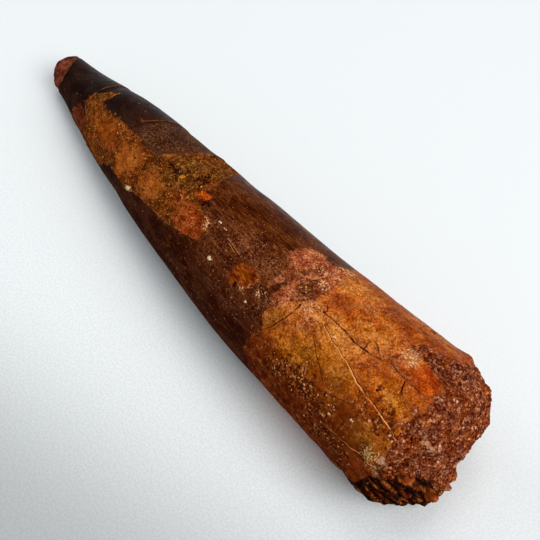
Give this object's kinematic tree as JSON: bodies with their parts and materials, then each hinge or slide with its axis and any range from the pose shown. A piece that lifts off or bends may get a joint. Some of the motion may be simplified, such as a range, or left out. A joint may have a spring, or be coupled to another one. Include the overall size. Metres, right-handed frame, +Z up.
{
  "type": "fossil spinosaurus tooth",
  "caption": "Long tapering conical fossil tooth with a broken tip, cracked enamel and a rough sandstone root end, lying on its side.",
  "frame": {"origin": "centre of the footprint of the tooth's box, on the surface that it lies on", "axes": "+X along the tooth towards its root end, +Y across it, +Z up from the surface"},
  "size_m": [0.123, 0.029, 0.0264],
  "materials": {
    "fossil": "satin to glossy fossil enamel, dark brown to amber, with matt sandy patches"
  },
  "bodies": {
    "root": {"tooth": "fossil"}
  },
  "joints": []
}
